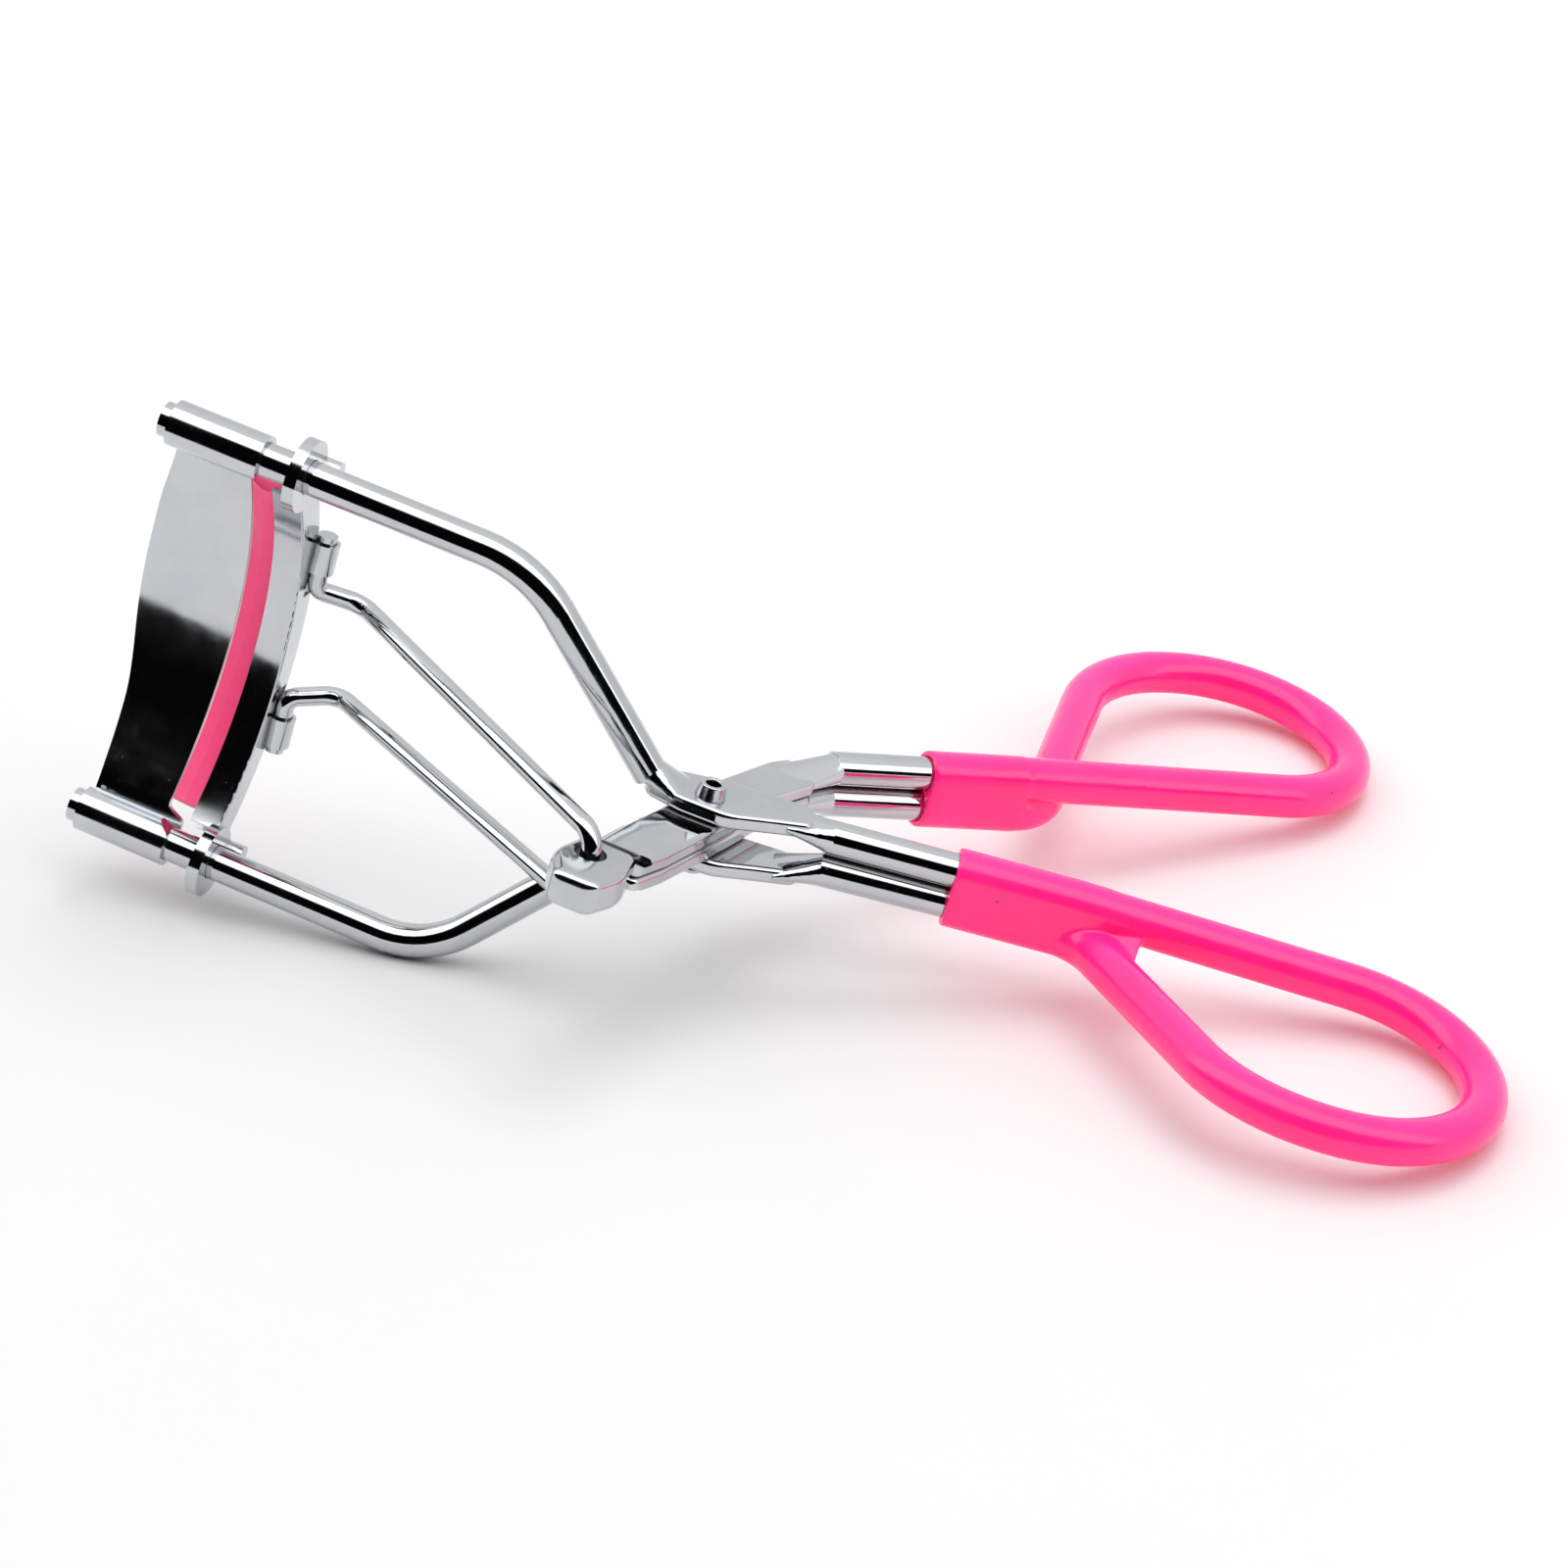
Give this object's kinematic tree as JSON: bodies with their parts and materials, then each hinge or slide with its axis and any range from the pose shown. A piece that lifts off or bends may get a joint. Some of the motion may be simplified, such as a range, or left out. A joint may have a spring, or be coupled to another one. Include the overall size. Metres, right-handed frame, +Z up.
{
  "type": "eyelash curler",
  "caption": "Hand-held curler of bent chromed wire: coated finger loops at one end, a riveted pivot, and a sliding bar with a soft pad that closes on a curved plate.",
  "frame": {"origin": "under the middle of the bounding box, on the table the tool lies on", "axes": "+Z up; -X towards the jaw and +X towards the finger loops; -Y towards the viewer of the picture"},
  "size_m": [0.1174, 0.0834, 0.0429],
  "materials": {
    "chrome": "mirror plated",
    "pink_vinyl": "glossy dipped vinyl",
    "pad_rubber": "satin"
  },
  "bodies": {
    "frame": {"frame_rod": "chrome", "frame_grip": "pink_vinyl", "fixed_jaw_plate": "chrome", "pivot_rivet": "chrome"},
    "lever": {"lever_rod": "chrome", "lever_grip": "pink_vinyl", "link_yoke": "chrome"},
    "sliding_bar": {"slide_bar": "chrome", "rubber_pad": "pad_rubber"},
    "link": {"link_wire": "chrome"}
  },
  "joints": [
    {"name": "handle_pivot", "type": "hinge", "parent": "frame", "child": "lever", "pos_m": [-0.0065, -0.02335, 0.01392], "axis": [0.2003, 0.0891, 0.9757], "range_deg": [0, 28]},
    {"name": "bar_slide", "type": "slide", "parent": "frame", "child": "sliding_bar", "axis": [0.9797, -0.0182, -0.1994], "range_m": [0, 0.0075]},
    {"name": "link_hinge", "type": "hinge", "parent": "sliding_bar", "child": "link", "pos_m": [-0.04231, -0.0197, 0.02094], "axis": [0.2003, 0.0891, 0.9757], "range_deg": [-1.6, 0]}
  ],
  "couplings": [
    {"joint": "bar_slide", "follows": "handle_pivot", "m_per_rad": 0.01523},
    {"joint": "link_hinge", "follows": "handle_pivot", "ratio": -0.054}
  ]
}
